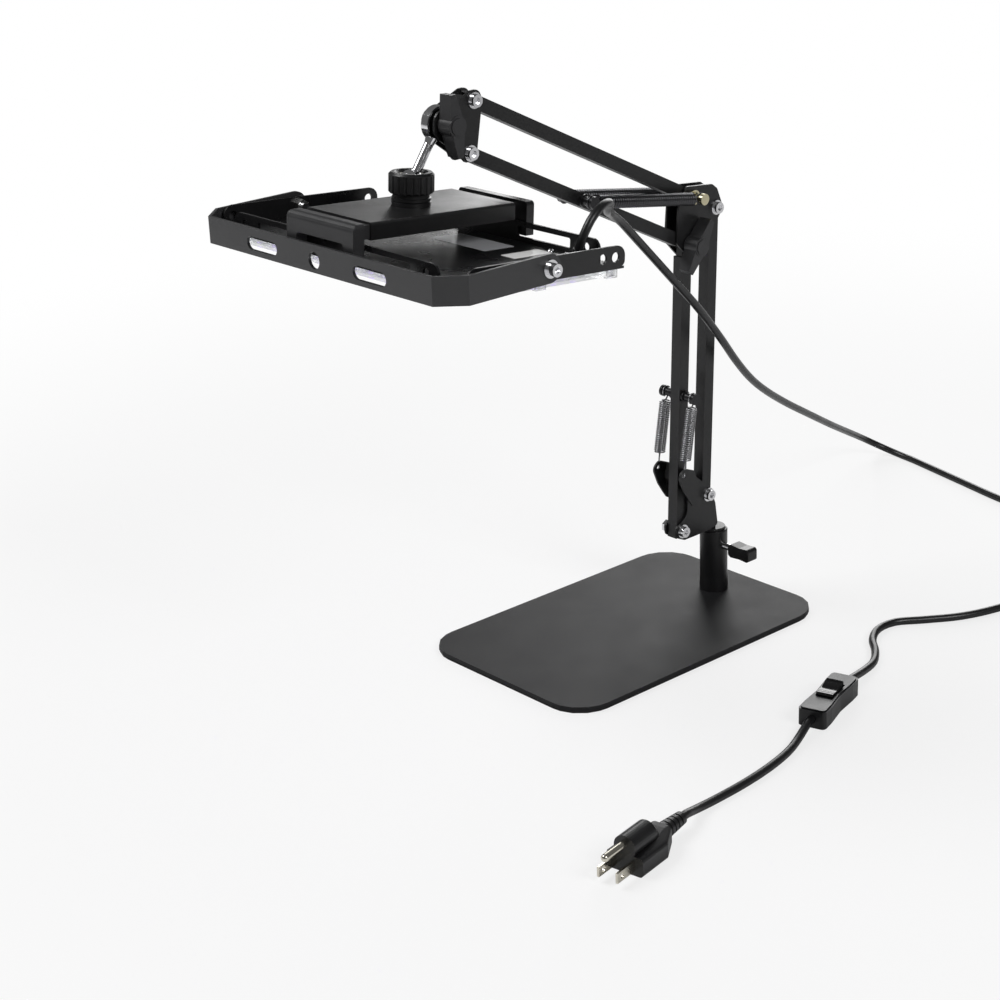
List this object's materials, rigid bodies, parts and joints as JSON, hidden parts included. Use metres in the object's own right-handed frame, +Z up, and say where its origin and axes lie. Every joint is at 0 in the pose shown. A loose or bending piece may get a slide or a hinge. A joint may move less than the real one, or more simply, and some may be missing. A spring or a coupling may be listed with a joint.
{
  "type": "exposure lamp",
  "caption": "Flat ultraviolet panel lamp clamped under a ball head on a sprung parallel arm, with a swivelling post on a flat base plate and a cord with a rocker switch and plug.",
  "frame": {"origin": "on the floor, in the middle of the post, at the underside of the base pad", "axes": "+Z up, -Y towards the lamp, +X towards the side of the clamp screw and the wing knobs"},
  "size_m": [0.3721, 0.6545, 0.4016],
  "materials": {
    "black_paint": "satin",
    "bracket_paint": "satin",
    "foam": "matte",
    "chrome": "polished",
    "steel": "brushed",
    "dark_steel": "oiled",
    "yellow_zinc": "satin",
    "black_plastic": "matte",
    "knob_plastic": "satin",
    "rocker_plastic": "gloss",
    "nylon": "satin",
    "board": "gloss",
    "diode": "gloss",
    "clear": "gloss",
    "cord": "satin",
    "pin_brass": "polished"
  },
  "bodies": {
    "base": {"base_plate": "black_paint", "base_pad": "foam", "post": "black_paint", "post_screw": "steel", "cord_floor": "cord", "cord_coil": "cord", "cord_to_switch": "cord", "switch_top": "black_plastic", "switch_base": "black_plastic", "cord_to_plug": "cord", "plug_body": "cord", "plug_pins": "pin_brass"},
    "clamp": {"clamp_screw": "chrome", "clamp_grip": "black_plastic"},
    "swivel": {"swivel_pin": "black_paint", "base_bracket": "bracket_paint", "base_bolts": "chrome", "lower_spring_left": "dark_steel", "lower_spring_right": "dark_steel"},
    "lower_front": {"lower_front_bar": "black_paint", "lower_spring_pin": "dark_steel"},
    "lower_rear": {"lower_rear_bar": "black_paint"},
    "elbow": {"elbow_bracket": "bracket_paint", "elbow_rear_bolt": "chrome", "spring_bolt": "yellow_zinc", "elbow_bolt": "chrome", "upper_spring_left": "dark_steel", "upper_spring_right": "dark_steel"},
    "elbow_grip": {"elbow_knob": "knob_plastic"},
    "upper_bottom": {"upper_bottom_bar": "black_paint", "upper_spring_pin": "dark_steel"},
    "upper_top": {"upper_top_bar": "black_paint"},
    "head": {"head_bracket": "bracket_paint", "head_bolts": "chrome", "tilt_bolt": "chrome", "eye_bush": "black_plastic"},
    "head_grip": {"head_knob": "knob_plastic"},
    "eye": {"eye_rod": "chrome", "ball": "chrome"},
    "seat": {"ball_seat": "nylon"},
    "lamp": {"ball_neck": "black_plastic", "holder_channel": "black_paint", "holder_cover": "black_paint", "front_jaw": "bracket_paint", "jaw_springs": "steel", "lamp_pan": "black_paint", "led_board": "board", "leds": "diode", "clear_cover": "clear", "cover_clips": "steel", "bracket_bolts": "chrome", "bracket_spacers": "black_plastic", "bracket_nuts": "steel", "cord_gland": "cord", "cord_hanging": "cord"},
    "collar": {"ball_collar": "black_plastic"},
    "jaw": {"rear_jaw": "bracket_paint", "guide_rods": "steel"},
    "bracket": {"mounting_bracket": "bracket_paint"},
    "rocker": {"switch_rocker": "rocker_plastic"}
  },
  "joints": [
    {"name": "arm_swivel", "type": "hinge", "parent": "base", "child": "swivel", "pos_m": [0, 0, 0.051], "axis": [0, 0, 1], "continuous": true, "deforming": ["cord_hanging"]},
    {"name": "clamp_turn", "type": "hinge", "parent": "base", "child": "clamp", "pos_m": [0.02, 0, 0.04], "axis": [1, 0, 0], "continuous": true},
    {"name": "lower_arm", "type": "hinge", "parent": "swivel", "child": "lower_front", "pos_m": [0, -0.0383, 0.0613], "axis": [1, 0, 0], "range_deg": [-20, 55], "deforming": ["lower_spring_left", "lower_spring_right"]},
    {"name": "lower_parallel", "type": "hinge", "parent": "swivel", "child": "lower_rear", "pos_m": [0, -0.0121, 0.0819], "axis": [1, 0, 0], "range_deg": [-20, 55]},
    {"name": "elbow_level", "type": "hinge", "parent": "lower_front", "child": "elbow", "pos_m": [0, -0.0295, 0.26771], "axis": [1, 0, 0], "range_deg": [-55, 20]},
    {"name": "upper_arm", "type": "hinge", "parent": "elbow", "child": "upper_bottom", "pos_m": [0, -0.0295, 0.26771], "axis": [1, 0, 0], "range_deg": [-12, 35], "deforming": ["upper_spring_left", "upper_spring_right"]},
    {"name": "upper_parallel", "type": "hinge", "parent": "elbow", "child": "upper_top", "pos_m": [0, -0.0249, 0.29911], "axis": [1, 0, 0], "range_deg": [-12, 35]},
    {"name": "head_level", "type": "hinge", "parent": "upper_bottom", "child": "head", "pos_m": [0, -0.21908, 0.36182], "axis": [1, 0, 0], "range_deg": [-35, 12]},
    {"name": "elbow_knob_turn", "type": "hinge", "parent": "elbow", "child": "elbow_grip", "pos_m": [0.016, -0.0295, 0.26771], "axis": [1, 0, 0], "continuous": true},
    {"name": "head_knob_turn", "type": "hinge", "parent": "head", "child": "head_grip", "pos_m": [0.016, -0.23788, 0.38232], "axis": [1, 0, 0], "continuous": true},
    {"name": "lamp_tilt", "type": "hinge", "parent": "head", "child": "eye", "pos_m": [0, -0.23788, 0.38232], "axis": [1, 0, 0], "range_deg": [-45, 3]},
    {"name": "ball_tilt", "type": "hinge", "parent": "eye", "child": "seat", "pos_m": [0, -0.2609, 0.3504], "axis": [1, 0, 0], "range_deg": [-20, 3]},
    {"name": "ball_turn", "type": "hinge", "parent": "seat", "child": "lamp", "pos_m": [0, -0.2609, 0.3504], "axis": [0, 0.0802, 0.9968], "range_deg": [-50, 50]},
    {"name": "collar_turn", "type": "hinge", "parent": "lamp", "child": "collar", "pos_m": [0, -0.2609, 0.3504], "axis": [0, 0.0802, 0.9968], "continuous": true},
    {"name": "jaw_slide", "type": "slide", "parent": "lamp", "child": "jaw", "axis": [0, 0.9968, -0.0802], "range_m": [0, 0.015], "stiffness_N_per_m": 300, "springref_m": -0.015, "deforming": ["jaw_springs"]},
    {"name": "bracket_swing", "type": "hinge", "parent": "lamp", "child": "bracket", "pos_m": [0, -0.26143, 0.31894], "axis": [1, 0, 0], "range_deg": [-30, 150]},
    {"name": "rocker_tip", "type": "hinge", "parent": "base", "child": "rocker", "pos_m": [0.18178, -0.0843, 0.0109], "axis": [0.9511, 0.309, 0], "range_deg": [-14, 0]}
  ],
  "couplings": [
    {"joint": "lower_parallel", "follows": "lower_arm", "ratio": 1},
    {"joint": "elbow_level", "follows": "lower_arm", "ratio": -1},
    {"joint": "upper_parallel", "follows": "upper_arm", "ratio": 1},
    {"joint": "head_level", "follows": "upper_arm", "ratio": -1}
  ]
}
